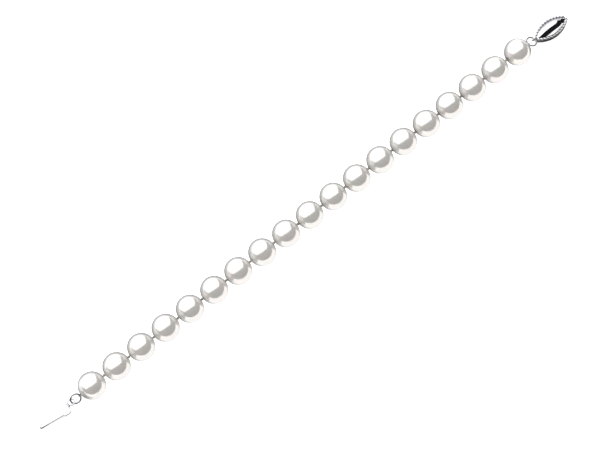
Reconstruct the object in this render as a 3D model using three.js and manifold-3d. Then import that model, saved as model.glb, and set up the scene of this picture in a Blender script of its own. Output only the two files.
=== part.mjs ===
// A strand of drilled pearls on knotted silk, laid out straight and unfastened. A jump ring at each end
// carries one half of a navette box clasp: the folded spring hook at -X and the box that takes it at +X.
// Millimetres. +X runs along the strand, +Z is up, and everything rests on the plane z = 0.

import * as THREE from "three";
import { mergeVertices } from "three/addons/utils/BufferGeometryUtils.js";
import Module from "manifold-3d";

const wasm = await Module();
wasm.setup();

const { degToRad } = THREE.MathUtils;

// Driving dimensions

const strand = {
  count: 19,
  pearlRadius: 3.83,
  pitch: 8.35, // from pearl to pearl, with a knot in the gap
  holeRadius: 0.55,
  endTilts: [degToRad(8), degToRad(-3)], // how far the last two pearls at each end nod to the clasp
};

const silk = {
  radius: 0.25,
  knotRadius: 0.45,
  knotHalfLength: 0.24,
  strandRadius: 0.12, // the doubled thread parts into two strands round a ring
  loopRadius: 0.44,
  partsAt: 0.9, // distance from the ring's wire back to where the strands part
  coreEndsAt: 0.65,
  loopArc: degToRad(115), // how far a loop follows the wire, to each side of its outermost point
};

const ring = {
  radius: 1.43,
  wireRadius: 0.23,
  pearlGap: 0.05,
};

const hookPose = {
  ringPitch: degToRad(10),
  ringYaw: degToRad(4),
  ringRoll: degToRad(46),
  yaw: degToRad(-1.6),
};

const boxPose = {
  ringPitch: degToRad(20),
  ringYaw: degToRad(6),
  ringRoll: 0,
  yaw: degToRad(-3),
};

const hook = {
  length: 10.65, // from the centre of the tab's hole to the rounded tip
  sheet: 0.35,
  tipHalfWidth: 0.42,
  shoulderHalfWidth: 1.68,
  shoulderAt: 1.35, // distances are measured from the hole's centre back towards the tip
  foldRadius: 0.3,
  riseToShoulder: 0.6,
  springEndsAt: 2.7,
  springHalfWidth: 0.95,
  neckHalfWidth: 0.55,
  tabRadius: 1.02,
  tabHoleRadius: 0.64,
  crankStart: 1.3,
  crankEnd: 0.9,
};

// The scalloped shoulder is a row of round lobes on each side of the blade.
const lobes = [
  { at: 3.1, out: 1.4, radius: 0.46 },
  { at: 2.45, out: 1.52, radius: 0.44 },
  { at: 1.8, out: 1.52, radius: 0.38 },
];

const box = {
  length: 10.97,
  width: 5.15,
  endRadius: 1.05,
  wallHeight: 1.8,
  sheet: 0.35,
  rimWidth: 0.4, // in from the wall's outside
  rimOverhang: 0.13,
  rimRise: 0.45,
  domeRise: 1.6,
  domeEnds: 1.4, // how much shorter the hollow under the dome is than the dome
  mouth: { depth: 1.9, halfWidth: 1.15, bottom: 0.55, top: 1.45 },
  notch: { depth: 0.9, halfWidth: 0.25, bottom: 1 },
  bar: { at: 2.5, height: 1, radius: 0.2, halfLength: 1.7 },
  eye: { radius: 0.66, wireRadius: 0.2, out: 0.5, height: 2.2 },
};

// How finely curves are faceted
const facets = {
  pearl: { around: 16, along: 8 },
  thread: { around: 6, stepsPerPearl: 4, loopSteps: 22, loopTurns: 8 },
  knot: { around: 8, along: 4 },
  ring: { section: 8, around: 28 },
  eye: { section: 8, around: 20 },
  spindle: { around: 24, along: 12 },
  lobe: 16,
  tab: 20,
  bar: 8,
  fold: 8,
  outline: 7,
};

const samePoint = 1e-5; // points closer than this are one

const pearlLook = new THREE.MeshStandardMaterial({ color: 0xf2efe9, roughness: 0.18, metalness: 0 });
const silkLook = new THREE.MeshStandardMaterial({ color: 0x8b8878, roughness: 0.8, metalness: 0 });
const metalLook = new THREE.MeshStandardMaterial({ color: 0xdcdce0, roughness: 0.12, metalness: 1 });

// Solids: geometry in, manifold out, and back

function solidOf(geometry) {
  const bare = geometry.clone();
  bare.deleteAttribute("normal");
  bare.deleteAttribute("uv");
  const merged = mergeVertices(bare, samePoint);
  const corners = merged.index.array;
  const triangles = [];
  for (let i = 0; i < corners.length; i += 3) {
    const [a, b, c] = [corners[i], corners[i + 1], corners[i + 2]];
    if (a !== b && b !== c && c !== a) triangles.push(a, b, c);
  }
  return new wasm.Manifold(
    new wasm.Mesh({
      numProp: 3,
      vertProperties: merged.attributes.position.array,
      triVerts: Uint32Array.from(triangles),
    }),
  );
}

function geometryOf(solid) {
  const mesh = solid.getMesh();
  const geometry = new THREE.BufferGeometry();
  geometry.setAttribute("position", new THREE.BufferAttribute(mesh.vertProperties, 3));
  geometry.setIndex(new THREE.BufferAttribute(mesh.triVerts, 1));
  geometry.computeVertexNormals();
  return geometry;
}

function joined(geometries) {
  return geometries.map(solidOf).reduce((whole, piece) => whole.add(piece));
}

// A prism that stands on an outline in plan, from one height to another.
function upright(shape, bottom, top) {
  const options = { depth: top - bottom, bevelEnabled: false, curveSegments: facets.outline };
  return new THREE.ExtrudeGeometry(shape, options).translate(0, 0, bottom);
}

// A prism whose outline is a side view in x and z, as wide as halfWidth to each side.
function sideways(shape, halfWidth) {
  const prism = new THREE.ExtrudeGeometry(shape, { depth: 2 * halfWidth, bevelEnabled: false });
  return prism.rotateX(Math.PI / 2).translate(0, halfWidth, 0);
}

function post(x, y, radius, bottom, top, sides) {
  const cylinder = new THREE.CylinderGeometry(radius, radius, top - bottom, sides);
  return cylinder.rotateX(Math.PI / 2).translate(x, y, (bottom + top) / 2);
}

function tube(curve, radius, sides, steps) {
  const section = new THREE.Shape();
  section.absarc(0, 0, radius, 0, 2 * Math.PI);
  const options = { extrudePath: curve, steps, curveSegments: sides / 2, bevelEnabled: false };
  return new THREE.ExtrudeGeometry(section, options);
}

function named(name, geometry, look) {
  const mesh = new THREE.Mesh(geometry, look);
  mesh.name = name;
  return mesh;
}

// Pearls: a sphere drilled through along its own x axis

function pearlGeometry() {
  const { pearlRadius, holeRadius } = strand;
  const { around, along } = facets.pearl;
  const edge = Math.asin(holeRadius / pearlRadius);
  const profile = [];
  for (let i = 0; i <= along; i += 1) {
    const angle = edge + ((Math.PI - 2 * edge) * i) / along;
    profile.push(new THREE.Vector2(pearlRadius * Math.sin(angle), -pearlRadius * Math.cos(angle)));
  }
  profile.push(profile[0].clone());
  return new THREE.LatheGeometry(profile, around).rotateZ(-Math.PI / 2);
}

// Where a pearl sits, and the way its drill hole points: outward along the strand and down by its tilt.
function seatOf(index) {
  const { count, pitch, pearlRadius, endTilts } = strand;
  const middle = (count - 1) / 2;
  const side = Math.sign(index - middle);
  const tilt = endTilts[Math.min(index, count - 1 - index)] ?? 0;
  return {
    centre: new THREE.Vector3((index - middle) * pitch, 0, pearlRadius),
    turn: side * tilt,
    forward: new THREE.Vector3(Math.cos(tilt), 0, -side * Math.sin(tilt)),
  };
}

function pearls() {
  const geometry = pearlGeometry();
  return Array.from({ length: strand.count }, (_, index) => {
    const seat = seatOf(index);
    const pearl = named(`pearl_${String(index + 1).padStart(2, "0")}`, geometry, pearlLook);
    pearl.position.copy(seat.centre);
    pearl.rotation.y = seat.turn;
    return pearl;
  });
}

// Jump rings: each is held against the drill hole of the end pearl

// The middle of the ring's wire where the thread holds it, out from the end pearl.
function heldPoint(side) {
  const seat = seatOf(side < 0 ? 0 : strand.count - 1);
  const reach = strand.pearlRadius + ring.pearlGap + ring.wireRadius;
  return seat.centre.clone().addScaledVector(seat.forward, side * reach);
}

// The turn that takes a ring's own x axis outward along the strand, down by its pitch and aside by its yaw.
function ringTurn(side, pose) {
  return new THREE.Euler(pose.ringRoll, side * pose.ringPitch, side * pose.ringYaw, "ZYX");
}

function alongRing(side, pose, distance) {
  const step = new THREE.Vector3(side * distance, 0, 0).applyEuler(ringTurn(side, pose));
  return heldPoint(side).add(step);
}

function jumpRing(name, side, pose) {
  const { section, around } = facets.ring;
  const mesh = named(name, new THREE.TorusGeometry(ring.radius, ring.wireRadius, section, around), metalLook);
  mesh.position.copy(alongRing(side, pose, ring.radius));
  mesh.rotation.copy(ringTurn(side, pose));
  return mesh;
}

// Silk: one core through every pearl, a knot in each gap, and a loop round each jump ring

function threadCore() {
  const { count, pearlRadius } = strand;
  const stations = [];
  for (let index = 0; index < count; index += 1) {
    const { centre, forward } = seatOf(index);
    const outer = index === 0 ? heldBack(-1) : centre.clone().addScaledVector(forward, -pearlRadius);
    const inner = index === count - 1 ? heldBack(1) : centre.clone().addScaledVector(forward, pearlRadius);
    stations.push(outer, centre, inner);
  }
  const route = new THREE.CatmullRomCurve3(stations, false, "centripetal");
  return tube(route, silk.radius, facets.thread.around, facets.thread.stepsPerPearl * count);
}

// The end of the core, a little inside the end pearl's hole.
function heldBack(side) {
  const { forward } = seatOf(side < 0 ? 0 : strand.count - 1);
  return heldPoint(side).addScaledVector(forward, -side * silk.coreEndsAt);
}

function knot(index) {
  const before = seatOf(index);
  const after = seatOf(index + 1);
  const exit = before.centre.clone().addScaledVector(before.forward, strand.pearlRadius);
  const entry = after.centre.clone().addScaledVector(after.forward, -strand.pearlRadius);
  const middle = exit.add(entry).multiplyScalar(0.5);
  const ball = new THREE.SphereGeometry(1, facets.knot.around, facets.knot.along).rotateZ(Math.PI / 2);
  return ball.scale(silk.knotHalfLength, silk.knotRadius, silk.knotRadius).translate(...middle);
}

// A teardrop that leaves the core, passes round the ring's wire and returns, square to the wire.
function threadLoop(side, pose) {
  const { forward } = seatOf(side < 0 ? 0 : strand.count - 1);
  const outward = forward.clone().multiplyScalar(side);
  const across = new THREE.Vector3(0, -Math.sin(pose.ringRoll), Math.cos(pose.ringRoll));
  const at = (out, up) => heldPoint(side).addScaledVector(outward, out).addScaledVector(across, up);
  const { around, loopSteps, loopTurns } = facets.thread;
  const points = [at(-silk.partsAt, silk.strandRadius)];
  for (let i = 0; i <= loopTurns; i += 1) {
    const angle = silk.loopArc - (2 * silk.loopArc * i) / loopTurns;
    points.push(at(silk.loopRadius * Math.cos(angle), silk.loopRadius * Math.sin(angle)));
  }
  points.push(at(-silk.partsAt, -silk.strandRadius));
  return tube(new THREE.CatmullRomCurve3(points, false, "centripetal"), silk.strandRadius, around, loopSteps);
}

function thread() {
  const knots = Array.from({ length: strand.count - 1 }, (_, index) => knot(index));
  const loops = [threadLoop(-1, hookPose), threadLoop(1, boxPose)];
  return named("thread", geometryOf(joined([threadCore(), ...knots, ...loops])), silkLook);
}

// Hook: one strip of sheet folded back on itself at the tip, with a cranked neck that ends in a tab

// The side view of sheet of even thickness that follows a line of points, mitred at each bend.
function sheetProfile(points, thickness) {
  const last = points.length - 1;
  const heading = (index) => points[index + 1].clone().sub(points[index]).normalize();
  const edge = (side) =>
    points.map((point, index) => {
      const arrive = heading(Math.max(index - 1, 0));
      const leave = heading(Math.min(index, last - 1));
      const bisector = arrive.clone().add(leave).normalize();
      const reach = (side * thickness) / (2 * bisector.dot(leave));
      return new THREE.Vector2(-bisector.y, bisector.x).multiplyScalar(reach).add(point);
    });
  return new THREE.Shape([...edge(1), ...edge(-1).reverse()]);
}

// A long wedge in plan with a rounded tip, symmetrical about the x axis.
function wedge(tipX, tipHalfWidth, endX, endHalfWidth) {
  const shape = new THREE.Shape();
  shape.moveTo(endX, -endHalfWidth);
  shape.lineTo(endX, endHalfWidth);
  shape.absarc(tipX + tipHalfWidth, 0, tipHalfWidth, Math.PI / 2, (3 * Math.PI) / 2, false);
  return shape;
}

function claspHook(tabHeight) {
  const tall = tabHeight + hook.sheet;
  const wide = 2 * hook.shoulderHalfWidth;
  const floorLine = hook.sheet / 2;
  const foldX = hook.sheet / 2 + hook.foldRadius - hook.length;
  const leafStart = floorLine + 2 * hook.foldRadius;
  const line = new THREE.Path();
  line.moveTo(-hook.springEndsAt, floorLine);
  line.lineTo(foldX, floorLine);
  line.absarc(foldX, floorLine + hook.foldRadius, hook.foldRadius, -Math.PI / 2, Math.PI / 2, true);
  line.lineTo(-hook.crankStart, leafStart + hook.riseToShoulder);
  line.lineTo(-hook.crankEnd, tabHeight);
  line.lineTo(hook.tabRadius, tabHeight);
  const points = line.getPoints(facets.fold);
  const foldEnd = points.findIndex((point) => Math.abs(point.y - leafStart) < samePoint);
  const upper = solidOf(sideways(sheetProfile(points.slice(foldEnd - facets.fold), hook.sheet), wide));
  const lower = solidOf(sideways(sheetProfile(points.slice(0, foldEnd + 1), hook.sheet), wide));

  const blade = wedge(-hook.length, hook.tipHalfWidth, -hook.shoulderAt, hook.shoulderHalfWidth);
  const neck = wedge(-2 * hook.shoulderAt, hook.neckHalfWidth, 0, hook.neckHalfWidth);
  const scallops = lobes.flatMap(({ at, out, radius }) =>
    [-1, 1].map((sign) => post(-at, sign * out, radius, 0, tall, facets.lobe)),
  );
  const plan = joined([
    upright(blade, 0, tall),
    upright(neck, 0, tall),
    post(0, 0, hook.tabRadius, 0, tall, facets.tab),
    ...scallops,
  ]).subtract(solidOf(post(0, 0, hook.tabHoleRadius, 0, tall, facets.tab)));
  const springPlan = wedge(-hook.length, hook.tipHalfWidth, -hook.springEndsAt, hook.springHalfWidth);
  const spring = upright(springPlan, -hook.sheet, tall);
  const solid = upper.intersect(plan).add(lower.intersect(solidOf(spring)));
  return named("clasp_hook", geometryOf(solid), metalLook);
}

// Box: a navette case with a domed lid, open at the far tip, with a cross bar for the hook and an eye

// A pointed oval of two side arcs that run smoothly into a small round at each end, from x = inset.
function navette(length, width, endRadius, inset = 0) {
  const halfLength = length / 2 - inset;
  const halfWidth = width / 2 - inset;
  const round = endRadius - inset;
  const reach = halfLength - round;
  const sideRadius = (reach ** 2 + halfWidth ** 2 - round ** 2) / (2 * (halfWidth - round));
  const drop = sideRadius - halfWidth;
  const slope = Math.atan2(drop, reach);
  const middle = length / 2;
  const shape = new THREE.Shape();
  shape.absarc(middle, -drop, sideRadius, slope, Math.PI - slope, false);
  shape.absarc(middle - reach, 0, round, Math.PI - slope, Math.PI + slope, false);
  shape.absarc(middle, drop, sideRadius, Math.PI + slope, 2 * Math.PI - slope, false);
  shape.absarc(middle + reach, 0, round, -slope, slope, false);
  return shape;
}

// A spindle that tapers to a point at both ends, its round section pressed flat to the rise asked for.
function spindle(length, width, rise, height) {
  const bow = (length ** 2 / 4 + width ** 2 / 4) / width;
  const { around, along } = facets.spindle;
  const profile = [];
  for (let i = 0; i <= along; i += 1) {
    const x = (length * i) / along - length / 2;
    profile.push(new THREE.Vector2(Math.max(Math.sqrt(bow ** 2 - x ** 2) - (bow - width / 2), 0), x));
  }
  const body = new THREE.LatheGeometry(profile, around).rotateZ(-Math.PI / 2);
  return body.scale(1, 1, (2 * rise) / width).translate(box.length / 2, 0, height);
}

function claspBox() {
  const { length, width, endRadius, wallHeight, sheet, rimWidth, domeRise, mouth, notch, bar, eye } = box;
  const outline = navette(length, width, endRadius);
  const domeLength = length - 2 * rimWidth;
  const domeWidth = width - 2 * rimWidth;
  const rim = navette(length, width, endRadius, -box.rimOverhang);
  rim.holes.push(navette(length, width, endRadius, rimWidth));
  const outside = joined([
    upright(outline, 0, wallHeight),
    upright(rim, wallHeight - sheet, wallHeight + box.rimRise),
    spindle(domeLength, domeWidth, domeRise, wallHeight),
  ]);
  const hollow = joined([
    upright(navette(length, width, endRadius, sheet), sheet, wallHeight - sheet),
    spindle(domeLength - box.domeEnds, domeWidth - 2 * sheet, domeRise - sheet, wallHeight),
  ]);
  const slot = new THREE.BoxGeometry(2 * mouth.depth, 2 * mouth.halfWidth, mouth.top - mouth.bottom);
  slot.translate(length, 0, (mouth.top + mouth.bottom) / 2);
  const split = new THREE.BoxGeometry(2 * notch.depth, 2 * notch.halfWidth, wallHeight);
  split.translate(length, 0, notch.bottom + wallHeight / 2);
  const crossBar = new THREE.CylinderGeometry(bar.radius, bar.radius, 2 * bar.halfLength, facets.bar);
  crossBar.translate(length - bar.at, 0, bar.height);
  const loop = new THREE.TorusGeometry(eye.radius, eye.wireRadius, facets.eye.section, facets.eye.around);
  loop.rotateX(Math.PI / 2).translate(-eye.out, 0, eye.height);
  const shell = outside.subtract(hollow).subtract(solidOf(slot)).subtract(solidOf(split));
  return named("clasp_box", geometryOf(shell.add(solidOf(crossBar)).add(solidOf(loop))), metalLook);
}

// Assembly: the clasp's halves lie on the surface, each with its hole round the far side of its ring

function bracelet() {
  const whole = new THREE.Group();
  const hookRing = jumpRing("hook_ring", -1, hookPose);
  const boxRing = jumpRing("box_ring", 1, boxPose);
  const hookEnd = alongRing(-1, hookPose, 2 * ring.radius);
  const boxEnd = alongRing(1, boxPose, 2 * ring.radius);

  const hookHalf = claspHook(hookEnd.z);
  hookHalf.position.set(hookEnd.x, hookEnd.y, 0);
  hookHalf.rotation.z = hookPose.yaw;

  const boxHalf = claspBox();
  boxHalf.position.set(boxEnd.x + box.eye.out, boxEnd.y, 0);
  boxHalf.rotation.z = boxPose.yaw;

  whole.add(...pearls(), thread(), hookRing, boxRing, hookHalf, boxHalf);
  const extent = new THREE.Box3().setFromObject(whole, true);
  whole.position.x = -(extent.min.x + extent.max.x) / 2;
  return whole;
}

export default bracelet();
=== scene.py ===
import math

import bmesh
import bpy
import numpy as np
from mathutils import Matrix, Vector


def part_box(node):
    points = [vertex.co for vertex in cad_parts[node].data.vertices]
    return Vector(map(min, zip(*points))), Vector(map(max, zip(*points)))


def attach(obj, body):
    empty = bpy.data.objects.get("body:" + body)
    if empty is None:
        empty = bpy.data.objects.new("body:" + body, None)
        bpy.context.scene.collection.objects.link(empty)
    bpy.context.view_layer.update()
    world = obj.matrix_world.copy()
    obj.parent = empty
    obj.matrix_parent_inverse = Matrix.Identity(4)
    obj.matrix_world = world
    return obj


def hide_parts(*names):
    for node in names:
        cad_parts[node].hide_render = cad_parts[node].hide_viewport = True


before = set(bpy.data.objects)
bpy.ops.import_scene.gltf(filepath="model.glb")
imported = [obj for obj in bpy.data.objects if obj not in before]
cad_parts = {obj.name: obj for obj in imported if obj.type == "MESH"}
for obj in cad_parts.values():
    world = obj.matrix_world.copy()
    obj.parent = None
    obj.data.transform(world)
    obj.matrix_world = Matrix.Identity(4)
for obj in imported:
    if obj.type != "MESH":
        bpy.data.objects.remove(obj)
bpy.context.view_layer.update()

mm = 0.001  # sizes are in millimetres until a mesh is made
seed = 19  # of the pearls' unevenness, and the next number for the knots
quarterTurn = np.radians(np.arange(0, 91, 22.5))  # a rounded corner

# Grids of points
# A patch is (points, quads, recess): recess is 0 on open metal and 1 deep in a groove, one value per point.
# The materials turn it into painted shade in the grooves, the furrows and on the cut edges, a rubbed and
# shaded rim on the pearls, and a duller tone and a stain on the jump rings.


def patch(points, closedRows=False, closedColumns=False, recess=0.0):
    # quads of a rows x columns grid, numbered row by row, wrapping round where a direction is closed
    rows, columns = points.shape[:2]
    row, column = np.meshgrid(
        np.arange(rows if closedRows else rows - 1),
        np.arange(columns if closedColumns else columns - 1),
        indexing="ij",
    )
    nextRow, nextColumn = (row + 1) % rows, (column + 1) % columns
    corners = [(row, column), (nextRow, column), (nextRow, nextColumn), (row, nextColumn)]
    quads = np.stack([r * columns + c for r, c in corners], -1).reshape(-1, 4)
    return points.reshape(-1, 3), quads, np.broadcast_to(recess, (rows, columns)).reshape(-1)


def shell(outer, inner, keep):
    # a wall between two grids that are closed along their columns. Cells where keep is false are openings,
    # and each edge between a kept cell and an opening, or past the first and last rows, gets a quad through
    # the wall
    rows, columns = outer.shape[:2]
    index = np.arange(rows * columns).reshape(rows, columns)
    after = np.roll(index, -1, axis=1)
    skin = np.stack([index[:-1], index[1:], after[1:], after[:-1]], -1)[keep]
    upright = keep != np.roll(keep, 1, axis=1)
    level = np.diff(np.pad(keep, ((1, 1), (0, 0))).astype(int), axis=0) != 0
    starts = np.concatenate([index[:-1][upright], index[level]])
    ends = np.concatenate([index[1:][upright], after[level]])
    through = np.stack([starts, ends, ends + rows * columns, starts + rows * columns], -1)
    points = np.concatenate([outer.reshape(-1, 3), inner.reshape(-1, 3)])
    quads = np.concatenate([skin, skin[:, ::-1] + rows * columns, through])
    return points, quads, np.zeros(len(points))


def unit(vectors):
    return vectors / np.linalg.norm(vectors, axis=-1, keepdims=True)


def closedEnds(grid):
    # each end row gets a row beyond it that lies in its middle, so that the end is filled
    first, last = (np.broadcast_to(row.mean(1, keepdims=True), row.shape) for row in (grid[:1], grid[-1:]))
    return np.concatenate([first, grid, last])


def sweep(path, reference, radius, around, closed=False, recess=0.0):
    # point(s, a) = path(s) + radius(s, a) (cos a * side + sin a * up), where side is square to the path and
    # to the reference direction, and up is square to both the path and side
    if closed:
        tangent = unit(np.roll(path, -1, axis=0) - np.roll(path, 1, axis=0))
    else:
        tangent = unit(np.gradient(path, axis=0))
    side = unit(np.cross(tangent, np.broadcast_to(reference, path.shape)))
    up = np.cross(side, tangent)
    angle = np.linspace(0, 2 * np.pi, around, endpoint=False)
    ray = np.cos(angle)[:, None] * side[:, None] + np.sin(angle)[:, None] * up[:, None]
    grid = path[:, None] + np.broadcast_to(radius, ray.shape[:2])[..., None] * ray
    recess = np.broadcast_to(recess, ray.shape[:2])
    if closed:
        return patch(grid, closedRows=True, closedColumns=True, recess=recess)
    recess = np.concatenate([recess[:1], recess, recess[-1:]])
    return patch(closedEnds(grid), closedColumns=True, recess=recess)


def twoPly(distance, around, radius, lay, waist):
    # the section of two strands laid up together: r(a) = radius * sqrt(c^2 + (waist (1 - c))^2), where c is
    # |cos(a - turn)| and the turn makes one circle in each lay. Two round strands would touch at a waist of
    # 0. The recess is 1 at the bottom of the furrows and 0 on the strands, and lays painted shade in the
    #    furrows
    angle = np.linspace(0, 2 * np.pi, around, endpoint=False)
    crest = np.abs(np.cos(angle[None] - 2 * np.pi * np.asarray(distance)[:, None] / lay))
    width = np.sqrt(crest**2 + (waist * (1 - crest)) ** 2)
    return radius * width, np.clip(1.25 - 2 * crest, 0, 1)


def along(path):
    steps = np.linalg.norm(np.diff(path, axis=0), axis=1)
    return np.concatenate([[0], np.cumsum(steps)])


def placed(part, turn, at):
    points, quads, recess = part
    return points @ np.array(turn.to_3x3()).T + np.array(at), quads, recess


# From grids to pieces

mergeWithin = 2e-7  # metres: poles and seams close, and nothing that can be seen does


def makePiece(name, parts, material, nodes, sharpFrom=math.radians(42), weighted=False):
    sizes = [len(points) for points, _, _ in parts]
    starts = np.concatenate([[0], np.cumsum(sizes)[:-1]])
    points = np.concatenate([part[0] for part in parts]) * mm
    quads = np.concatenate([part[1] + start for part, start in zip(parts, starts)])
    mesh = bpy.data.meshes.new(name)
    mesh.from_pydata(points.tolist(), [], quads.tolist())
    groove = mesh.attributes.new("recess", "FLOAT", "POINT")
    groove.data.foreach_set("value", np.concatenate([part[2] for part in parts]).astype(np.float32))
    work = bmesh.new()
    work.from_mesh(mesh)
    bmesh.ops.remove_doubles(work, verts=work.verts, dist=mergeWithin)
    bmesh.ops.recalc_face_normals(work, faces=work.faces)
    work.to_mesh(mesh)
    work.free()
    mesh.shade_smooth()
    mesh.set_sharp_from_angle(angle=sharpFrom)
    mesh.materials.append(material)
    piece = bpy.data.objects.new(name, mesh)
    bpy.context.scene.collection.objects.link(piece)
    if weighted:  # flat faces stay flat to their edges, and only the rounded edges turn the light
        piece.modifiers.new("flatFaces", "WEIGHTED_NORMAL").keep_sharp = True
    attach(piece, "root")
    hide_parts(*nodes)
    return piece


def middleOf(node):
    low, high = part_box(node)
    return (low + high) / 2 / mm


# Materials


def node(tree, kind, inputs=None, **settings):
    made = tree.nodes.new(kind)
    for key, value in settings.items():
        setattr(made, key, value)
    for key, value in (inputs or {}).items():
        if isinstance(value, bpy.types.NodeSocket):
            tree.links.new(value, made.inputs[key])
        else:
            made.inputs[key].default_value = value
    return made


def makeMottleGroup():
    # soft cloudy unevenness between a low and a high value, shared by the nacre, the metal and the silk
    group = bpy.data.node_groups.new("mottle", "ShaderNodeTree")
    group.interface.new_socket("Vector", in_out="INPUT", socket_type="NodeSocketVector")
    for name in ("Scale", "Detail", "Low", "High"):
        group.interface.new_socket(name, in_out="INPUT", socket_type="NodeSocketFloat")
    group.interface.new_socket("Value", in_out="OUTPUT", socket_type="NodeSocketFloat")
    given = node(group, "NodeGroupInput").outputs
    noise = node(
        group,
        "ShaderNodeTexNoise",
        {"Vector": given["Vector"], "Scale": given["Scale"], "Detail": given["Detail"]},
    )
    spread = node(
        group,
        "ShaderNodeMapRange",
        {"Value": noise.outputs["Fac"], "From Min": 0.3, "From Max": 0.7,
         "To Min": given["Low"], "To Max": given["High"]},
        interpolation_type="SMOOTHSTEP",
    )
    node(group, "NodeGroupOutput", {"Value": spread.outputs["Result"]})
    return group


mottleGroup = makeMottleGroup()


def mottle(tree, vector, scale, low, high, detail=2.0):
    made = node(tree, "ShaderNodeGroup", node_tree=mottleGroup)
    tree.links.new(vector, made.inputs["Vector"])
    for name, value in (("Scale", scale), ("Detail", detail), ("Low", low), ("High", high)):
        made.inputs[name].default_value = value
    return made.outputs["Value"]


def blendColours(tree, share, first, second):
    made = node(tree, "ShaderNodeMix", data_type="RGBA")
    for index, value in ((0, share), (6, first), (7, second)):
        if isinstance(value, bpy.types.NodeSocket):
            tree.links.new(value, made.inputs[index])
        else:
            made.inputs[index].default_value = (*value, 1)
    return made.outputs[2]


def newMaterial(name, settings):
    material = bpy.data.materials.new(name)
    material.use_nodes = True
    tree = material.node_tree
    shader = tree.nodes["Principled BSDF"]
    for key, value in settings.items():
        shader.inputs[key].default_value = value
    return material, tree, shader, node(tree, "ShaderNodeTexCoord").outputs["Object"]


nacre = {
    "cream": (0.93, 0.905, 0.86),
    "rose": (0.95, 0.895, 0.885),
    "silver": (0.86, 0.89, 0.87),
    "drilled": (0.45, 0.41, 0.34),  # the rim of the hole: where the silk has rubbed it, and painted shade where the pearls meet the knots
    "mirrored": (0.42, 0.40, 0.38),  # painted reflection: the darker nacre that the metal and the other pearls mirror
    "edge": (0.74, 0.75, 0.76),  # painted shade: a greyer colour where the skin turns away from the view
    "edgeFrom": (0.48, 0.85),  # how far the skin turns away where that colour starts and is reached
    "metallic": 0.43,
    "coat": 0.7,
    "coatRoughness": 0.03,
    "roughness": (0.13, 0.19),
    "silverShare": 0.6,
    "cloud": 190,  # noise scales are per metre
    "orient": 420,
    "grain": 5200,
    "grainDepth": 0.00002,  # depths are in metres
}


def makeNacre():
    fixed = {
        "Metallic": nacre["metallic"],
        "Coat Weight": nacre["coat"],
        "Coat Roughness": nacre["coatRoughness"],
        "Coat IOR": 1.55,
        "Specular Tint": (0.8, 0.8, 0.82, 1),
    }
    material, tree, shader, place = newMaterial("nacre", fixed)
    warm = blendColours(tree, mottle(tree, place, nacre["cloud"], 0, 1), nacre["cream"], nacre["rose"])
    orient = mottle(tree, place, nacre["orient"], 0, nacre["silverShare"])
    body = blendColours(tree, orient, warm, nacre["silver"])
    # painted shade at the outline: the colour greys as the skin turns from facing the view to grazing
    facing = node(tree, "ShaderNodeLayerWeight", {"Blend": 0.5}).outputs["Facing"]
    low, high = nacre["edgeFrom"]
    grazing = node(tree, "ShaderNodeMapRange", {"Value": facing, "From Min": low, "From Max": high})
    body = blendColours(tree, grazing.outputs["Result"], body, nacre["edge"])
    # painted shade and wear: the rim round the drill hole turns brown-grey, rubbed by the silk and shaded
    # between the pearls
    rim = node(tree, "ShaderNodeAttribute", attribute_name="recess").outputs["Fac"]
    skin = blendColours(tree, rim, body, nacre["drilled"])
    # painted reflection: seen in glossy rays, the pearls take a darker colour, so they mirror dimmer in their
    # neighbours and the clasp
    mirrored = node(tree, "ShaderNodeLightPath").outputs["Is Glossy Ray"]
    tree.links.new(blendColours(tree, mirrored, skin, nacre["mirrored"]), shader.inputs["Base Color"])
    tree.links.new(mottle(tree, place, nacre["cloud"], *nacre["roughness"]), shader.inputs["Roughness"])
    grain = mottle(tree, place, nacre["grain"], 0, 1, detail=4)
    bump = node(tree, "ShaderNodeBump", {"Height": grain, "Strength": 0.05, "Distance": nacre["grainDepth"]})
    tree.links.new(bump.outputs["Normal"], shader.inputs["Normal"])
    return material


metal = {
    "bright": (0.82, 0.82, 0.84),
    "dulled": (0.70, 0.70, 0.73),
    "shadowed": (0.04, 0.04, 0.045),  # painted shade, near black, laid in the grooves and on the cut edges; the jump rings take some of it as a duller tone and a stain
    "roughness": (0.05, 0.12),
    "grooveRoughness": 0.3,  # more in the grooves
    "smudge": 330,
    "scratch": 2600,
    "scratchDepth": 0.00001,
}


def makeMetal():
    material, tree, shader, place = newMaterial("polishedMetal", {"Metallic": 1.0})
    polish = blendColours(tree, mottle(tree, place, metal["smudge"], 0, 1), metal["bright"], metal["dulled"])
    # painted shade: where the recess value is high, the polish turns near black and rougher
    groove = node(tree, "ShaderNodeAttribute", attribute_name="recess").outputs["Fac"]
    tree.links.new(blendColours(tree, groove, polish, metal["shadowed"]), shader.inputs["Base Color"])
    smear = mottle(tree, place, metal["smudge"], *metal["roughness"], detail=5)
    more = metal["grooveRoughness"]
    rough = node(tree, "ShaderNodeMath", {0: groove, 1: more, 2: smear}, operation="MULTIPLY_ADD")
    tree.links.new(rough.outputs[0], shader.inputs["Roughness"])
    drawn = node(tree, "ShaderNodeMapping", {"Vector": place, "Scale": (0.12, 1, 1), "Rotation": (0, 0, 0.5)})
    scratch = mottle(tree, drawn.outputs["Vector"], metal["scratch"], 0, 1, detail=3)
    depth = metal["scratchDepth"]
    bump = node(tree, "ShaderNodeBump", {"Height": scratch, "Strength": 0.06, "Distance": depth})
    tree.links.new(bump.outputs["Normal"], shader.inputs["Normal"])
    return material


silk = {
    "thread": (0.40, 0.385, 0.32),
    "worn": (0.55, 0.53, 0.46),
    # painted shade in the furrows between the two strands
    "groove": (0.13, 0.125, 0.10),
    "fibre": 9000,
    "fibreDepth": 0.00003,
}


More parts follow.
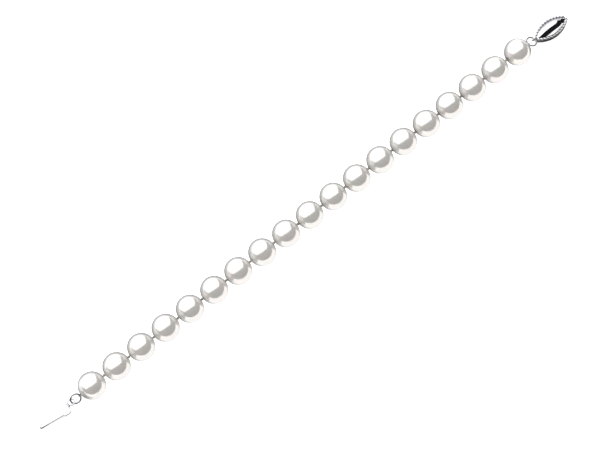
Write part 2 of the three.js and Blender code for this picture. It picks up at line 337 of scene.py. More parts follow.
def makeSilk():
    material, tree, shader, place = newMaterial(
        "twistedSilk", {"Roughness": 0.62, "Sheen Weight": 0.35, "Sheen Roughness": 0.4}
    )
    fibre = mottle(tree, place, silk["fibre"], 0, 1, detail=3)
    strand = blendColours(tree, fibre, silk["thread"], silk["worn"])
    groove = node(tree, "ShaderNodeAttribute", attribute_name="recess").outputs["Fac"]
    tree.links.new(blendColours(tree, groove, strand, silk["groove"]), shader.inputs["Base Color"])
    bump = node(tree, "ShaderNodeBump", {"Height": fibre, "Strength": 0.4, "Distance": silk["fibreDepth"]})
    tree.links.new(bump.outputs["Normal"], shader.inputs["Normal"])
    return material


nacreMaterial, metalMaterial, silkMaterial = makeNacre(), makeMetal(), makeSilk()
print("materials made")

# Pearls

pearl = {
    "count": 19,
    "radius": 3.83,
    "drillRadius": 0.5,
    "lip": 0.07,  # rounding of the drill hole's edge
    "endTilts": (math.radians(8), math.radians(-3)),  # how far the last two at each end nod to the clasp
    "lump": 0.005,  # how far below a true sphere the skin dips, as a share of the radius
    "lumpFade": 0.3,  # radians from the lips to where the skin dips in full
    "waves": 5,  # how many waves add up to the dips
    "waveSpread": 2.2,  # and how tightly they turn
    "rubbedAndShaded": 0.16,  # width of the darker rim round the hole, rubbed wear with painted shade
    "around": 96,
    "along": 60,
}
pearlNames = [f"pearl_{number:02d}" for number in range(1, pearl["count"] + 1)]
pearlCentres = np.array([middleOf(name) for name in pearlNames])


def tiltOf(index):
    fromEnd = min(index, pearl["count"] - 1 - index)
    tilt = pearl["endTilts"][fromEnd] if fromEnd < len(pearl["endTilts"]) else 0.0
    return math.copysign(tilt, tilt * (index - (pearl["count"] - 1) / 2)) if tilt else 0.0


def forwardOf(index):
    # the way the drill hole points, towards +X
    tilt = tiltOf(index)
    return np.array([math.cos(tilt), 0, -math.sin(tilt)])


def pearlSurface(waves, phases):
    # a closed profile (x, r) turned round the x axis: the sphere x = -R cos t, r = R sin t between the
    # hole's two lips, a quarter round of the lip's size at each end, and the drill hole back through the
    # middle. The skin dips by lump * (1 + mean of cos(k . direction + phase)) / 2 of the radius, less near
    # the lips, so it never leaves the sphere
    radius, lip, drill = pearl["radius"], pearl["lip"], pearl["drillRadius"]
    start = math.asin((drill + lip) / radius)
    t = np.linspace(start, np.pi - start, pearl["along"])
    edge = math.sqrt(radius**2 - (drill + lip) ** 2)
    quarter = np.linspace(0, np.pi / 2, 5)[1:]
    lipX, lipR = edge - lip + lip * np.cos(quarter), drill + lip - lip * np.sin(quarter)
    bore = np.linspace(edge - lip, lip - edge, 8)[1:-1]
    x = np.concatenate([-radius * np.cos(t), lipX, bore, -lipX[::-1]])
    r = np.concatenate([radius * np.sin(t), lipR, np.full(len(bore), drill), lipR[::-1]])
    a = np.linspace(0, 2 * np.pi, pearl["around"], endpoint=False)
    grid = np.stack(np.broadcast_arrays(x[:, None], r[:, None] * np.cos(a), r[:, None] * np.sin(a)), -1)
    swell = np.cos(unit(grid) @ waves.T + phases).mean(-1)
    skin = np.zeros(len(x))
    skin[: pearl["along"]] = np.minimum(1, np.minimum(t - start, np.pi - start - t) / pearl["lumpFade"])
    grid = grid * (1 - pearl["lump"] * (skin[:, None] * (1 + swell) / 2))[..., None]
    rubbedAndShaded = np.clip(1 - (r - drill) / pearl["rubbedAndShaded"], 0, 1) ** 1.5
    return patch(grid, closedRows=True, closedColumns=True, recess=rubbedAndShaded[:, None])


def makePearls():
    random = np.random.default_rng(seed)
    for index, name in enumerate(pearlNames):
        waves = random.normal(0, pearl["waveSpread"], (pearl["waves"], 3))
        phases = random.uniform(0, 2 * np.pi, pearl["waves"])
        spin = Matrix.Rotation(random.uniform(0, 2 * np.pi), 4, "X")
        turn = Matrix.Rotation(tiltOf(index), 4, "Y") @ spin
        skin = placed(pearlSurface(waves, phases), turn, pearlCentres[index])
        makePiece(f"drilled_{name}", [skin], nacreMaterial, [name])


makePearls()
print("pearls made")

# Jump rings

ring = {
    "radius": 1.43,
    "wire": 0.23,
    "pearlGap": 0.05,
    "around": 28,
    "steps": 120,
    "seamAt": math.radians(140),  # where the soldered joint is, round from the outer side
    "seamHeight": 0.05,  # how far the solder swells the wire, as a share of its radius
    "seamWidth": math.radians(7),
    "dull": 0.45,  # how far the wire is from a fresh polish
    "stainAt": 1.4,  # the stain beside the joint, in seam widths from it
    "stainSpread": 0.2,
}
# pitch dips the ring's outer side, yaw swings it aside and roll turns it about its own long line
ringPoses = {
    "hook_ring": {"side": -1, "pitch": math.radians(10), "yaw": math.radians(4), "roll": math.radians(46)},
    "box_ring": {"side": 1, "pitch": math.radians(20), "yaw": math.radians(6), "roll": 0.0},
}


def ringTurn(name):
    pose = ringPoses[name]
    yaw = Matrix.Rotation(pose["side"] * pose["yaw"], 4, "Z")
    pitch = Matrix.Rotation(pose["side"] * pose["pitch"], 4, "Y")
    return yaw @ pitch @ Matrix.Rotation(pose["roll"], 4, "X")


def outerPoint(name):
    # the middle of the wire on the side away from the pearls, where the clasp's hole hangs
    return middleOf(name) + ringTurn(name) @ Vector((ringPoses[name]["side"] * ring["radius"], 0, 0))


def circle(radius, steps, first, second):
    t = np.linspace(0, 2 * np.pi, steps, endpoint=False)[:, None]
    return radius * (np.cos(t) * np.array(first, float) + np.sin(t) * np.array(second, float))


def makeRing(name, pieceName):
    # a torus whose wire swells at the soldered joint: r(t) = wire (1 + height exp(-u^2)), where u is the
    # distance from the joint in seam widths. A darker stain lies beside it
    t = np.linspace(0, 2 * np.pi, ring["steps"], endpoint=False)[:, None]
    fromSeam = (t - ring["seamAt"]) / ring["seamWidth"]
    wire = ring["wire"] * (1 + ring["seamHeight"] * np.exp(-(fromSeam**2)))
    stain = np.exp(-((fromSeam - ring["stainAt"]) ** 2) / ring["stainSpread"])
    recess = ring["dull"] + (1 - ring["dull"]) / 2 * stain
    path = circle(ring["radius"], ring["steps"], (1, 0, 0), (0, 1, 0))
    loop = sweep(path, (0, 0, 1), wire, ring["around"], closed=True, recess=recess)
    makePiece(pieceName, [placed(loop, ringTurn(name), middleOf(name))], metalMaterial, [name])


makeRing("hook_ring", "hook_jump_ring")
makeRing("box_ring", "box_jump_ring")
print("jump rings made")

# Silk: a core through every pearl, a knot in each gap and a loop round each jump ring

thread = {
    "radius": 0.25,
    "lay": 1.3,  # length of one turn of the two strands
    "waist": 0.6,  # thickness between the two strands, as a share of the thickness over them
    "step": 0.13,
    "around": 14,
    "knotRadius": 0.31,  # to the middle of the knotted strand
    "knotHalfLength": 0.15,
    "knotStrand": 0.135,
    "knotWaist": 0.7,
    "knotSteps": 96,
    "knotAround": 12,
    "loopRadius": 0.44,
    "loopStrand": 0.12,
    "loopLay": 0.7,
    "loopWaist": 0.65,
    "loopStep": 0.04,
    "loopCorners": 34,
    "partsAt": 0.9,  # distance back from the ring's wire to where the strands of a loop part
    "partsHalf": 0.12,  # from the middle of the core to each strand there
    "coreEndsAt": 0.65,
    "loopAngle": math.radians(115),
}


def endOf(side):
    index = 0 if side < 0 else pearl["count"] - 1
    reach = pearl["radius"] + ring["pearlGap"] + ring["wire"]
    return pearlCentres[index] + side * reach * forwardOf(index), side * forwardOf(index)


def coreSurface():
    # a two-ply cord whose middle line z(x) follows the drill holes from end to end
    stations = [endOf(-1)[0] - thread["coreEndsAt"] * endOf(-1)[1]]
    for index, centre in enumerate(pearlCentres):
        half = pearl["radius"] * forwardOf(index)
        stations += [centre - half] if index else []
        stations += [centre] + ([centre + half] if index < pearl["count"] - 1 else [])
    stations = np.array(stations + [endOf(1)[0] - thread["coreEndsAt"] * endOf(1)[1]])
    x = np.arange(stations[0, 0], stations[-1, 0], thread["step"])
    path = np.stack([x, np.zeros(len(x)), np.interp(x, stations[:, 0], stations[:, 2])], -1)
    radius, recess = twoPly(along(path), thread["around"], thread["radius"], thread["lay"], thread["waist"])
    return sweep(path, (0, 0, 1), radius, thread["around"], recess=recess)


def knotSurface(middle, spin):
    # a trefoil drawn tight: radial (sin t + 2 sin 2t, cos t - 2 cos 2t) / 3, along the strand -sin 3t
    t = np.linspace(0, 2 * np.pi, thread["knotSteps"], endpoint=False)
    across = thread["knotRadius"] / 3
    first, second = across * (np.sin(t) + 2 * np.sin(2 * t)), across * (np.cos(t) - 2 * np.cos(2 * t))
    path = np.stack([-thread["knotHalfLength"] * np.sin(3 * t), first, second], -1)
    lengths = along(np.concatenate([path, path[:1]]))
    around, strand, waist = thread["knotAround"], thread["knotStrand"], thread["knotWaist"]
    lay = lengths[-1] / round(2 * lengths[-1] / thread["lay"])  # whole turns, near half the core's lay
    radius, recess = twoPly(lengths[:-1], around, strand, lay, waist)
    ball = sweep(path, unit(path), radius, around, closed=True, recess=recess)
    return placed(ball, Matrix.Rotation(spin, 4, "X"), middle)


def loopSurface(name):
    # a teardrop square to the ring's wire: an arc round the wire that narrows back to the core
    pose, (held, outward) = ringPoses[name], endOf(ringPoses[name]["side"])
    square = np.array([0, -math.sin(pose["roll"]), math.cos(pose["roll"])])
    a = np.linspace(thread["loopAngle"], -thread["loopAngle"], thread["loopCorners"])
    back, half = -thread["partsAt"], thread["partsHalf"]
    out = np.concatenate([[back], thread["loopRadius"] * np.cos(a), [back]])
    up = np.concatenate([[half], thread["loopRadius"] * np.sin(a), [-half]])
    corners = held + out[:, None] * outward + up[:, None] * square
    distance = along(corners)
    s = np.arange(0, distance[-1], thread["loopStep"])
    path = np.stack([np.interp(s, distance, corners[:, k]) for k in range(3)], -1)
    strand, lay, waist = thread["loopStrand"], thread["loopLay"], thread["loopWaist"]
    radius, recess = twoPly(s, thread["knotAround"], strand, lay, waist)
    return sweep(path, np.cross(outward, square), radius, thread["knotAround"], recess=recess)


def makeThread():
    random = np.random.default_rng(seed + 1)
    parts = [coreSurface(), loopSurface("hook_ring"), loopSurface("box_ring")]
    for index in range(pearl["count"] - 1):
        exit = pearlCentres[index] + pearl["radius"] * forwardOf(index)
        entry = pearlCentres[index + 1] - pearl["radius"] * forwardOf(index + 1)
        parts.append(knotSurface((exit + entry) / 2, random.uniform(0, 2 * np.pi)))
    makePiece("silk_thread", parts, silkMaterial, ["thread"])


makeThread()
print("silk made")

# Hook: one strip of sheet folded at the tip, with a scalloped shoulder, a cranked neck and a tab

hook = {
    "length": 10.64,  # from the middle of the tab's hole to the tip
    "yaw": math.radians(-1.6),
    "sheet": 0.35,
    "edge": 0.13,  # rounding of the sheet's edges
    "crown": 0.04,  # how far the upper leaf swells along its middle
    "crownColumns": 9,
    "tipHalfWidth": 0.42,
    "shoulderHalfWidth": 1.68,
    "shoulderAt": 1.35,
    "foldRadius": 0.3,
    "foldCorners": 26,
    "riseToShoulder": 0.6,
    "springEndsAt": 2.7,
    "springHalfWidth": 0.95,
    "neckHalfWidth": 0.55,
    "tabRadius": 1.02,
    "tabHoleRadius": 0.64,
    "tabSheet": 0.38,
    "neckInto": 0.12,  # how far the neck runs into the tab's ring
    "crankStart": 1.3,
    "crankEnd": 0.9,
    "lobes": ((3.1, 1.4, 0.46), (2.45, 1.52, 0.44), (1.8, 1.52, 0.38)),  # back from the hole, out, radius
    "step": 0.05,
    "ease": 0.22,
    "cutEdge": 0.95,  # how much painted shade the cut edges take, up to 1 as in a groove; they also turn rougher
}


def easedLine(corners, step, ease):
    # an even walk along straight runs, whose bends are then rounded by a running mean
    distance = along(corners)
    s = np.arange(-ease, distance[-1] + ease, step)
    line = np.stack([np.interp(s, distance, corners[:, k]) for k in range(2)], -1)
    before, after = np.minimum(s, 0)[:, None], np.maximum(s - distance[-1], 0)[:, None]
    line = line + before * unit(corners[1] - corners[0]) + after * unit(corners[-1] - corners[-2])
    window = np.hanning(2 * round(ease / step / 2) + 3)[1:-1]
    window = window / window.sum()
    return np.stack([np.convolve(line[:, k], window, "valid") for k in range(2)], -1)


def halfWidthAt(x, upper):
    # the wedge of the blade or of the spring under it, or the widest scallop, and the plain neck behind the
    # shoulder. A scallop at a distance d from its middle is out + sqrt(radius^2 - d^2) wide. Up to a
    # distance u = round from the tip, the width is at most sqrt(2 round u - u^2)
    tip, tipRound = -hook["length"], hook["tipHalfWidth"]
    blade = np.interp(x, (tip, -hook["shoulderAt"]), (tipRound, hook["shoulderHalfWidth"]))
    spring = np.interp(x, (tip, -hook["springEndsAt"]), (tipRound, hook["springHalfWidth"]))
    width = np.where(upper, blade, spring)
    for at, out, radius in hook["lobes"]:
        bulge = np.sqrt(np.clip(radius**2 - (x + at) ** 2, 0, None))
        width = np.where(upper & (bulge > 0), np.maximum(width, out + bulge), width)
    width = np.where(x > -hook["shoulderAt"], hook["neckHalfWidth"], width)
    into = np.clip(x - tip, 0, tipRound)
    tipEnd = np.sqrt(np.clip(2 * tipRound * into - into**2, 0, None))
    return np.where(into < tipRound, np.minimum(width, tipEnd), width)


def hookStrip(tabHeight):
    # the side line (x, z) runs from the spring's free end round the fold and up the crank to the tab. The
    # section at each step is a rectangle with rounded corners, and its upper face on the blade swells by
    # crown (1 - v^2), where v runs from 1 to -1 across it. Each point is as far to the side as the plan is
    # wide at that point's own x
    half, fold = hook["sheet"] / 2, hook["foldRadius"]
    foldX = half + fold - hook["length"]
    a = np.linspace(-np.pi / 2, -3 * np.pi / 2, hook["foldCorners"])
    shoulder = half + 2 * fold + hook["riseToShoulder"]
    neckEnd = -hook["tabHoleRadius"] - hook["neckInto"]
    corners = np.concatenate([
        [(-hook["springEndsAt"], half)],
        np.stack([foldX + fold * np.cos(a), half + fold + fold * np.sin(a)], -1),
        [(-hook["crankStart"], shoulder), (-hook["crankEnd"], tabHeight), (neckEnd, tabHeight)],
    ])
    line = easedLine(corners, hook["step"], hook["ease"])
    # two close stations where the shoulder ends, so that it ends in a square step
    behind = len(line) - np.argmax(line[::-1, 0] < -hook["shoulderAt"])
    step = [line[behind - 1] + share * (line[behind] - line[behind - 1]) for share in (0.2, 0.8)]
    line = np.insert(line, behind, step, axis=0)
    tangent = unit(np.gradient(line, axis=0))
    normal = np.stack([-tangent[:, 1], tangent[:, 0]], -1)
    passedFold = (np.cumsum(line[:, 0] <= line[:, 0].min() + 1e-9) > 0)[:, None]

    # the section's points: the way each one's corner turns, and the side and the face that it is on.
    # Extra points across the two faces carry the crown
    flats = np.linspace(1, -1, hook["crownColumns"] + 2)[1:-1]
    above, corner = np.full(len(flats), np.pi / 2), np.ones(len(quarterTurn))
    corners = [quarterTurn + quarter * np.pi / 2 for quarter in range(4)]
    turns = np.concatenate([corners[0], above, corners[1], corners[2], -above, corners[3]])
    sides = np.concatenate([corner, flats, -corner, -corner, -flats, corner])
    faces = np.repeat([1, -1], len(turns) // 2)
    lift = faces * (half - hook["edge"]) + hook["edge"] * np.sin(turns)
    wide = halfWidthAt(line[:, :1] + 0 * lift, passedFold)
    crowned = hook["crown"] * (1 - sides**2) * np.minimum(wide, 1) * passedFold
    height = lift[None] + crowned
    x = line[:, :1] + normal[:, :1] * height
    z = line[:, 1:] + normal[:, 1:] * height
    wide = halfWidthAt(np.maximum(x, -hook["length"]), passedFold)
    edge = hook["edge"] / np.maximum(wide, 3 * hook["edge"])  # as a share of the half width
    y = wide * (sides * (1 - edge) + edge * np.cos(turns))
    # painted shade on the cut edges: where the section turns to the sheet's sides, the recess value darkens
    # them towards black
    cut = np.clip(4 * np.abs(np.cos(turns)), 0, 1) * hook["cutEdge"]
    recess = np.broadcast_to(cut, (len(line) + 2, len(turns)))
    return patch(closedEnds(np.stack([x, y, z], -1)), closedColumns=True, recess=recess)


def washer(inner, outer, thickness, edge, middle):
    # a rectangle with rounded corners turned round the z axis
    turns = np.concatenate([quarterTurn + quarter * np.pi / 2 for quarter in range(4)])
    sides, faces = np.repeat([1, -1, -1, 1], len(quarterTurn)), np.repeat([1, 1, -1, -1], len(quarterTurn))
    out = sides * ((outer - inner) / 2 - edge) + edge * np.cos(turns)
    up = faces * (thickness / 2 - edge) + edge * np.sin(turns)
    t = np.linspace(0, 2 * np.pi, 64, endpoint=False)[:, None]
    radius = (outer + inner) / 2 + out
    grid = np.stack(np.broadcast_arrays(radius * np.cos(t), radius * np.sin(t), up + 0 * t), -1)
    return patch(grid + np.array(middle), closedRows=True, closedColumns=True)


def makeHook():
    end = outerPoint("hook_ring")
    tab = washer(hook["tabHoleRadius"], hook["tabRadius"], hook["tabSheet"], hook["edge"], (0, 0, end.z))
    turn, origin = Matrix.Rotation(hook["yaw"], 4, "Z"), (end.x, end.y, 0)
    parts = [placed(part, turn, origin) for part in (hookStrip(end.z), tab)]
    makePiece("spring_hook", parts, metalMaterial, ["clasp_hook"], weighted=True)


makeHook()
print("hook made")

# Box: a navette case with a rope edge, a domed lid, a mouth at the tip, a cross bar and an eye

case = {
    "length": 10.96,
    "width": 5.14,
    "yaw": math.radians(-3),
    "endRadius": 1.05,
    "wallTop": 1.66,
    "sheet": 0.35,
    "foot": 0.12,  # rounding under the wall
    "mouthHalfWidth": 1.15,
    "mouthBottom": 0.55,
    "mouthTop": 1.45,
    "notchHalfWidth": 0.25,
    "plateUnder": 0.02,
    "plateTop": 0.35,
    "plateInset": 0.3,
    "domeInset": 0.4,
    "domeBase": 1.72,
    "domeSheet": 0.3,
    "domeLip": 0.1,  # how much further in the lid's inner face ends
    "domeRidge": 0.2,
    "domeRadius": 2.35,
    "domeSoftRidge": 0.3,
    "domeSteepest": math.radians(58),
    "domeEnds": 0.9,  # radians of the outline's facing that the closer rows at each end cover
    "domeEndRows": 11,
    "domeRows": 60,
    "domeColumns": 61,
    "domeDepths": 200,  # steps in which the slope is added up
    "ropeInset": 0.16,
    "ropeHeight": 1.86,
    "ropeRadius": 0.31,
    "ropeFlat": 0.65,  # thickness as a share of width
    "ropeTip": math.radians(24),
    "ropePitch": 0.95,  # from lobe to lobe
    "ropeWaist": 0.4,  # radius between the lobes, as a share of the radius on them
    "ropeSwell": 0.55,  # the smaller, the blunter the lobes
    "ropeSlant": 0.4,  # how far a groove leans from one side of the rope to the other, in lobes
    "ropeGap": 0.02,  # from the notch to the rope's ends
    "ropeBed": 0.2,  # half width of the shade under the rope
    "ropeAround": 20,
    "stations": 340,
}
# the rim's section as (inset from the outline, height), round from the outline's foot over the lip to the lid
rimSection = ((0.0, 1.60), (0.0, 1.72), (0.02, 1.75), (0.16, 1.72), (0.36, 1.74), (0.41, 1.80), (0.45, 1.83),
              (0.49, 1.80), (0.52, 1.60))
bar = {"at": 2.5, "height": 1.0, "radius": 0.2, "halfLength": 1.7, "steps": 12, "around": 18}
eye = {"radius": 0.66, "wire": 0.2, "out": 0.5, "height": 2.2, "steps": 72, "around": 24}


def navetteShape():
    # two side arcs that run smoothly into a round at each end: the way the outline faces is the same angle
    # that places it on its arc, and distance along the outline grows evenly with that angle on each arc.
    # Gives the end arcs' distance from the middle, the side arcs' radius and how far their middles lie beyond
    # the long axis, the facings where the arcs join, and the distances along the outline there
    reach, half, small = case["length"] / 2 - case["endRadius"], case["width"] / 2, case["endRadius"]
    side = (reach**2 + half**2 - small**2) / (2 * (half - small))
    slope = math.atan2(side - half, reach)
    knots = np.array([0, slope, math.pi - slope, math.pi + slope, 2 * math.pi - slope, 2 * math.pi])
    lengths = np.diff(knots) * np.array([small, side, small, side, small])
    return reach, side, side - half, knots, np.concatenate([[0], np.cumsum(lengths)])


def navette(facing, inset):
    # point = arc's middle + (arc's radius - inset) (cos facing, sin facing), where x starts at the root
    reach, side, drop, knots, _ = navetteShape()
    facing = np.asarray(facing)
    arc = np.clip(np.searchsorted(knots, facing, side="right") - 1, 0, 4)
    middleX = case["length"] / 2 + np.array([reach, 0, -reach, 0, reach])[arc]
    middleY = np.array([0, -drop, 0, drop, 0])[arc]
    radius = np.array([case["endRadius"], side, case["endRadius"], side, case["endRadius"]])[arc] - inset
    return middleX + radius * np.cos(facing), middleY + radius * np.sin(facing)


def facingAt(distance):
    _, _, _, knots, lengths = navetteShape()
    return np.interp(distance, lengths, knots)


def facingWhere(y):
    # near the tip, the facing of the outline's point at that y
    _, side, drop, knots, _ = navetteShape()
    if y <= case["endRadius"] * math.sin(knots[1]):
        return math.asin(y / case["endRadius"])
    return math.asin((y + drop) / side)


def outlineFacings(gap=0.0):
    # evenly spaced along the outline, leaving a gap at the tip of this half width
    _, _, _, knots, lengths = navetteShape()
    start = float(np.interp(facingWhere(gap), knots, lengths))
    return facingAt(np.linspace(start, lengths[-1] - start, case["stations"], endpoint=gap > 0))


def caseWall():
    # the outline carried up in levels, with a rounded foot and two openings at the tip: the mouth, and above
    # it the notch. On the foot the inset is foot (1 - sin a) and the height foot (1 - cos a)
    mouth, notch = facingWhere(case["mouthHalfWidth"]), facingWhere(case["notchHalfWidth"])
    facing = outlineFacings()
    edges = [notch, mouth, 2 * np.pi - mouth, 2 * np.pi - notch]
    facing = np.unique(np.round(np.concatenate([facing, edges]), 9))
    levels = [case["mouthBottom"], case["mouthTop"], case["wallTop"]]
    inset = np.concatenate([case["foot"] * (1 - np.sin(quarterTurn)), np.zeros(len(levels))])
    height = np.concatenate([case["foot"] * (1 - np.cos(quarterTurn)), levels])

    def wall(insets):
        x, y = navette(facing[None], np.asarray(insets)[:, None])
        return np.stack([x, y, np.broadcast_to(height[:, None], x.shape)], -1)

    middle = (facing + np.append(facing[1:], facing[0] + 2 * np.pi)) / 2
    fromTip = np.minimum(middle, 2 * np.pi - middle)
    keep = np.ones((len(height) - 1, len(facing)), bool)
    keep[-2] = fromTip > mouth
    keep[-1] = fromTip > notch
    return shell(wall(inset), wall(np.full(len(inset), case["sheet"])), keep)


def casePlate():
    # a floor: rings of one inset and height each, from the long axis out to the wall and back above. A spread
    # of 0 lays a ring flat on the long axis, which closes the middle
    facing = outlineFacings()
    low, high, rim = case["plateUnder"], case["plateTop"], case["plateInset"]
    deep = case["endRadius"] - 0.02  # the end arcs shrink almost to points
    rings = [(deep, 0, low), (deep, 1, low), (rim, 1, low), (rim, 1, high), (deep, 1, high), (deep, 0, high)]
    rows = []
    for inset, spread, height in rings:
        x, y = navette(facing, inset)
        rows.append(np.stack([x, y * spread, np.full(len(x), height)], -1))
    return patch(np.array(rows), closedColumns=True)


def caseRim():
    # the rim's section carried round the outline from one side of the notch to the other
    section = np.array(rimSection)
    x, y = navette(outlineFacings(case["notchHalfWidth"])[:, None], section[None, :, 0])
    shade = np.exp(-(((section[:, 0] - case["ropeInset"]) / case["ropeBed"]) ** 2))
    groove = shade * (section[:, 1] > case["wallTop"])
    recess = np.broadcast_to(groove, (len(x) + 2, len(section)))
    height = np.broadcast_to(section[:, 1], x.shape)
    return patch(closedEnds(np.stack([x, y, height], -1)), closedColumns=True, recess=recess)


def caseRope():
    # a flattened cord of leaning lobes, tipped outward. Its section is an oval, and r(s, a) is the oval's
    # radius times (waist + (1 - waist) c^swell), where c is |sin(pi s / pitch + lean)| and the lean grows
    # from one side of the cord over the top to the other
    facing = outlineFacings(case["notchHalfWidth"] + case["ropeGap"])
    x, y = navette(facing, case["ropeInset"])
    path = np.stack([x, y, np.full(len(x), case["ropeHeight"])], -1)
    distance = along(path)
    turns = np.pi * round(distance[-1] / case["ropePitch"]) * distance / distance[-1]
    angle = np.linspace(0, 2 * np.pi, case["ropeAround"], endpoint=False)
    lean = case["ropeSlant"] * np.pi * np.sin(angle / 2) ** 2
    lobe = np.abs(np.sin(turns[:, None] + lean))
    flat, tip = case["ropeFlat"], case["ropeTip"]
    oval = case["ropeRadius"] * flat / np.sqrt((flat * np.cos(angle)) ** 2 + np.sin(angle) ** 2)
    radius = oval * (case["ropeWaist"] + (1 - case["ropeWaist"]) * lobe ** case["ropeSwell"])
    upward = np.stack([np.cos(facing), np.sin(facing), np.full(len(x), 1 / math.tan(tip))], -1)
    # painted shade in the grooves between the lobes, through the recess value
    return sweep(path, upward, radius, case["ropeAround"], recess=np.clip(1.2 - 2 * lobe, 0, 1))


def caseDome():
    # across every station the lid is the same curve, cut off where it meets the outline inside the rope
    # edge: z = base + fall(h) - fall(|y|), where h is the half width there and fall(y) grows with a slope
    # whose sine is ridge + y / radius, up to the steepest slope, and less within the soft ridge
    depth = np.linspace(0, case["width"] / 2, case["domeDepths"])
    sine = np.minimum(case["domeRidge"] + depth / case["domeRadius"], math.sin(case["domeSteepest"]))
    sine = sine * np.minimum(1, depth / case["domeSoftRidge"])
    slope = sine / np.sqrt(1 - sine**2)
    fall = np.concatenate([[0], np.cumsum((slope[1:] + slope[:-1]) / 2 * np.diff(depth))])

    def lid(inset, drop):
        ends = case["domeEnds"]
        end = np.linspace(0, 1, case["domeEndRows"] + 1)[:-1] * ends
        facing = np.concatenate([end, np.linspace(ends, np.pi - ends, case["domeRows"]), np.pi - end[::-1]])
        x, h = navette(facing, inset)
        h = np.abs(h)
        y = h[:, None] * np.sin(np.linspace(-np.pi / 2, np.pi / 2, case["domeColumns"]))
        tall = np.interp(h, depth, fall)[:, None] - np.interp(np.abs(y), depth, fall)
        return np.stack([np.broadcast_to(x[:, None], y.shape), y, case["domeBase"] + tall - drop], -1)

    outer, inner = lid(case["domeInset"], 0), lid(case["domeInset"] + case["domeLip"], case["domeSheet"])
    keep = np.ones((outer.shape[0] - 1, outer.shape[1]), bool)
    keep[:, -1] = False  # no cells join the last column to the first
    return shell(outer, inner, keep)


def caseBar():
    # a straight round bar from wall to wall
    y = np.linspace(-bar["halfLength"], bar["halfLength"], bar["steps"])
    path = np.stack([np.full(len(y), case["length"] - bar["at"]), y, np.full(len(y), bar["height"])], -1)
    return sweep(path, (0, 0, 1), bar["radius"], bar["around"])


def caseEye():
    # a plain torus that stands upright at the root
    path = circle(eye["radius"], eye["steps"], (1, 0, 0), (0, 0, 1))
    path = path + np.array((-eye["out"], 0, eye["height"]))
    return sweep(path, (0, 1, 0), eye["wire"], eye["around"], closed=True)


def makeCase():
    end = outerPoint("box_ring")
    turn, origin = Matrix.Rotation(case["yaw"], 4, "Z"), (end.x + eye["out"], end.y, 0)
    parts = [caseWall(), casePlate(), caseRim(), caseRope(), caseDome(), caseBar(), caseEye()]
    parts = [placed(part, turn, origin) for part in parts]
    makePiece("navette_box", parts, metalMaterial, ["clasp_box"], weighted=True)


makeCase()
print("box made")

# Floor, light and camera

studio = {
    "floorSize": 6.0,
    "floorColour": (0.86, 0.86, 0.86),
    "floorClouds": (40, 0.98),  # their noise scale, and how light the darker ones are
    "floorGlow": (0.95, 0.66),  # seen by the camera, under the pearls and under the clasp
    "pearlsEnd": (79.5, 83),  # the one floor turns into the other between these distances from the middle
    "floorWarmth": 0.985,  # green as a share of red on the near side, and the other way round beyond
    # painted shadow and light for reflections only: the floor's glow as mirrored, as (distance across the
    # strand, brightness), dark under the strand and bright beyond
    "pearlFloor": (
        (-6.5, 1.3), (-4.8, 1.25), (-3.6, 1.0), (-2.2, 0.45), (3, 0.12), (8, 0.2), (26, 0.28), (38, 1.1),
    ),
    "claspFloor": ((-14, 1.5), (-8, 0.7), (-5, 0.06), (2.5, 0.05), (5, 0.5), (9, 0.9), (24, 1.1)),
    "scrimStrength": 1.5,
    "scrimSoftness": 0.035,
    "dark": (0.012, 0.012, 0.014),  # the rest of the room, as it is mirrored
    "fill": (0.50, 0.475, 0.44),  # and as it lights what is matt
    # the near, left and right edges: the way each one faces into the lit sky, and how far in it starts
    "scrimEdges": (((0.055, 0.929, 0.365), 0.11), ((0.42, 0.485, 0.767), 0.0), ((-0.49, 0.605, 0.627), 0.0)),
}
camera = {
    "azimuth": math.radians(-39.5),
    "elevation": math.radians(72),
    "lens": 140.7,
    "sensor": 36,
    "distance": 637.7,
    "clip": (0.01, 50),  # metres
    "aimAside": (-3.87, -0.56),  # from the middle pearl
}


def brightnessRamp(tree, distance, stops):
    # straight runs from stop to stop, a little warm on the near side and cool beyond the strand
    low, high = stops[0][0], stops[-1][0]
    share = node(tree, "ShaderNodeMapRange", {"Value": distance, "From Min": low * mm, "From Max": high * mm})
    made = node(tree, "ShaderNodeValToRGB", {"Fac": share.outputs["Result"]})
    while len(made.color_ramp.elements) < len(stops):
        made.color_ramp.elements.new(0.5)
    for element, (at, value) in zip(made.color_ramp.elements, stops):
        warmth = studio["floorWarmth"] ** (1 if at < 0 else -1)
        element.position = (at - low) / (high - low)
        element.color = (value, value * warmth, value * warmth**1.5, 1)
    return made.outputs["Color"]


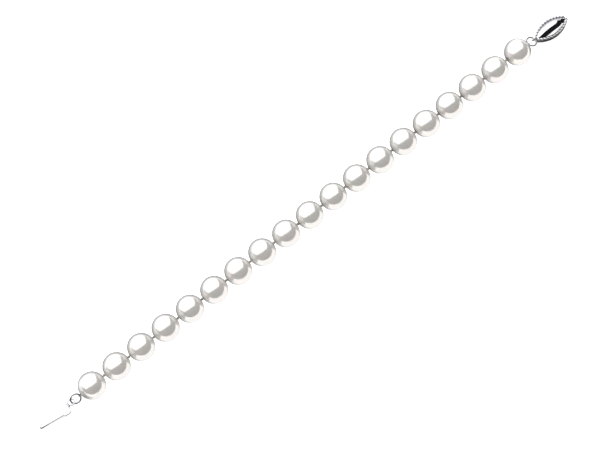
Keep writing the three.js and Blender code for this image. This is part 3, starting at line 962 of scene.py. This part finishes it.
def makeFloor():
    # the camera sees pale paper. In reflections the floor glows with painted shadow, dim in a strip under the
    # strand, and painted light, bright beyond: a ramp over the distance across the strand, with a narrower
    # and darker painted shadow round the two halves of the clasp
    half = studio["floorSize"] / 2
    side = np.linspace(-half, half, 3)
    x, y = np.meshgrid(side, side, indexing="ij")
    points, quads, _ = patch(np.stack([x, y, np.zeros_like(x)], -1))
    mesh = bpy.data.meshes.new("floor")
    mesh.from_pydata(points.tolist(), [], quads.tolist())
    material, tree, shader, place = newMaterial("palePaper", {"Roughness": 0.9, "Specular IOR Level": 0.1})
    scale, light = studio["floorClouds"]
    low = tuple(light * value for value in studio["floorColour"])
    sheet = blendColours(tree, mottle(tree, place, scale, 0, 1), low, studio["floorColour"])
    tree.links.new(sheet, shader.inputs["Base Color"])
    split = node(tree, "ShaderNodeSeparateXYZ", {"Vector": place}).outputs
    aside = node(tree, "ShaderNodeMath", {0: split["X"]}, operation="ABSOLUTE").outputs[0]
    first, last = (value * mm for value in studio["pearlsEnd"])
    beyond = node(tree, "ShaderNodeMapRange", {"Value": aside, "From Min": first, "From Max": last})
    beyond = beyond.outputs["Result"]
    glow = blendColours(tree, beyond, *((value,) * 3 for value in studio["floorGlow"]))
    tree.links.new(glow, shader.inputs["Emission Color"])
    shader.inputs["Emission Strength"].default_value = 1.0
    # painted shadow and light, seen only in reflections: an emission dark under the strand and bright beyond
    # it
    underPearls = brightnessRamp(tree, split["Y"], studio["pearlFloor"])
    underClasp = brightnessRamp(tree, split["Y"], studio["claspFloor"])
    dim = blendColours(tree, beyond, underPearls, underClasp)
    mirrored = node(tree, "ShaderNodeEmission", {"Color": dim})
    seen = node(tree, "ShaderNodeLightPath").outputs["Is Camera Ray"]
    mixed = node(tree, "ShaderNodeMixShader", {0: seen, 1: mirrored.outputs[0], 2: shader.outputs[0]})
    tree.links.new(mixed.outputs[0], tree.nodes["Material Output"].inputs["Surface"])
    mesh.materials.append(material)
    floor = bpy.data.objects.new("floor", mesh)
    bpy.context.scene.collection.objects.link(floor)


def makeSky():
    # one large scrim from overhead down to the ground behind the strand, dark elsewhere, plain white when
    # seen. Diffuse rays find grey in place of the dark
    world = bpy.data.worlds.new("studio")
    bpy.context.scene.world = world
    world.use_nodes = True
    tree = world.node_tree
    direction = node(tree, "ShaderNodeTexCoord").outputs["Generated"]
    share = 1.0
    for facing, start in studio["scrimEdges"]:
        depth = node(tree, "ShaderNodeVectorMath", {0: direction, 1: facing}, operation="DOT_PRODUCT")
        soft = studio["scrimSoftness"]
        inside = node(
            tree,
            "ShaderNodeMapRange",
            {"Value": depth.outputs["Value"], "From Min": start - soft, "From Max": start + soft},
            interpolation_type="SMOOTHSTEP",
        )
        both = node(tree, "ShaderNodeMath", {0: inside.outputs[0], 1: share}, operation="MULTIPLY")
        share = both.outputs[0]
    ray = node(tree, "ShaderNodeLightPath").outputs
    room = blendColours(tree, ray["Is Diffuse Ray"], studio["dark"], studio["fill"])
    sky = blendColours(tree, share, room, (studio["scrimStrength"],) * 3)
    shown = blendColours(tree, ray["Is Camera Ray"], sky, (1, 1, 1))
    tree.links.new(shown, tree.nodes["Background"].inputs["Color"])


def makeCamera():
    az, el = camera["azimuth"], camera["elevation"]
    back = Vector((math.sin(az) * math.cos(el), -math.cos(az) * math.cos(el), math.sin(el)))
    right = Vector((math.cos(az), math.sin(az), 0))
    view = Matrix((right, back.cross(right), back)).transposed().to_4x4()
    aim = Vector(pearlCentres[pearl["count"] // 2]) + Vector((*camera["aimAside"], 0))
    view.translation = (aim + camera["distance"] * back) * mm
    data = bpy.data.cameras.new("camera")
    data.lens, data.sensor_width = camera["lens"], camera["sensor"]
    data.clip_start, data.clip_end = camera["clip"]
    made = bpy.data.objects.new("camera", data)
    made.matrix_world = view
    bpy.context.scene.collection.objects.link(made)
    bpy.context.scene.camera = made


makeFloor()
makeSky()
makeCamera()
bpy.context.scene.view_settings.view_transform = "Standard"
print("studio made")
